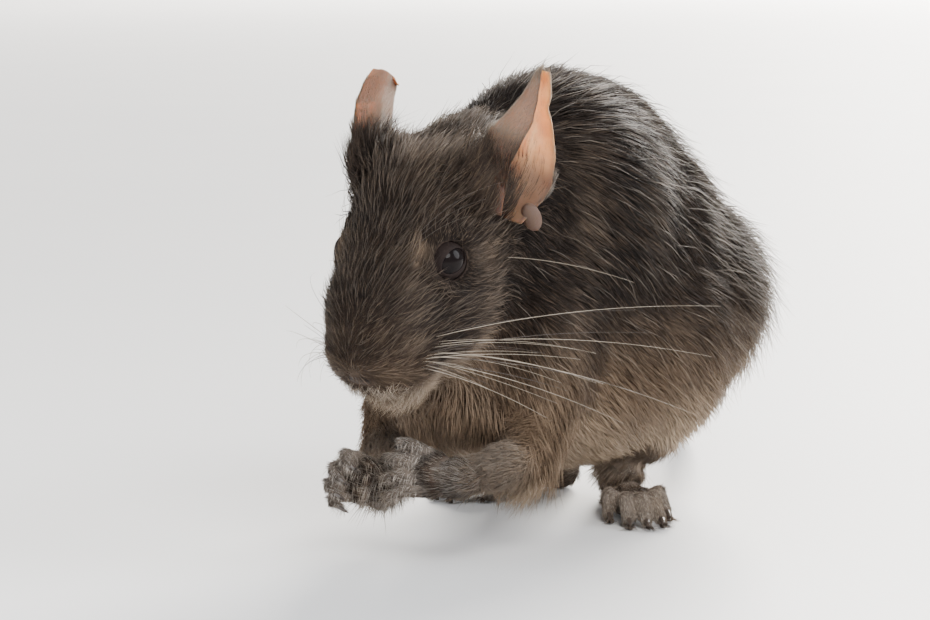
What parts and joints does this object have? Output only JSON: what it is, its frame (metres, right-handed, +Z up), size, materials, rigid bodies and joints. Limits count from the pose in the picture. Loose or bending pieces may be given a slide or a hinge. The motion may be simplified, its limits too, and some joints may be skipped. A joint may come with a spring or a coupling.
{
  "type": "degu",
  "caption": "Small furry rodent with rounded ears and a tufted tail, hunched on its hind feet with both hands raised to its mouth.",
  "frame": {"origin": "on the floor, below the middle of the whole animal's box", "axes": "+Z up, the degu faces -Y with its tail trailing towards +Y, and its own left is +X"},
  "size_m": [0.1172, 0.2282, 0.094],
  "materials": {
    "coat": "dark agouti fur",
    "pale_coat": "pale cream-tan fur",
    "paw": "short grey hairs on dark skin, with dark claws",
    "ear_skin": "thin bare skin",
    "eye": "wet black",
    "tail_coat": "dark bristly fur"
  },
  "bodies": {
    "root": {"torso": "coat", "neck": "coat", "head": "coat", "thigh_left": "coat", "thigh_right": "coat", "upper_arm_left": "coat", "upper_arm_right": "coat", "eye_left": "eye", "eye_right": "eye", "whisker_pad_left": "coat", "whisker_pad_right": "coat", "ear_left": "ear_skin", "ear_right": "ear_skin", "forearm_left": "pale_coat", "forearm_right": "pale_coat", "hand_left": "paw", "hand_right": "paw", "shank_left": "pale_coat", "shank_right": "pale_coat", "foot_left": "paw", "foot_right": "paw", "tail_base": "tail_coat", "tail_middle": "tail_coat", "tail_tip": "tail_coat"}
  },
  "joints": []
}
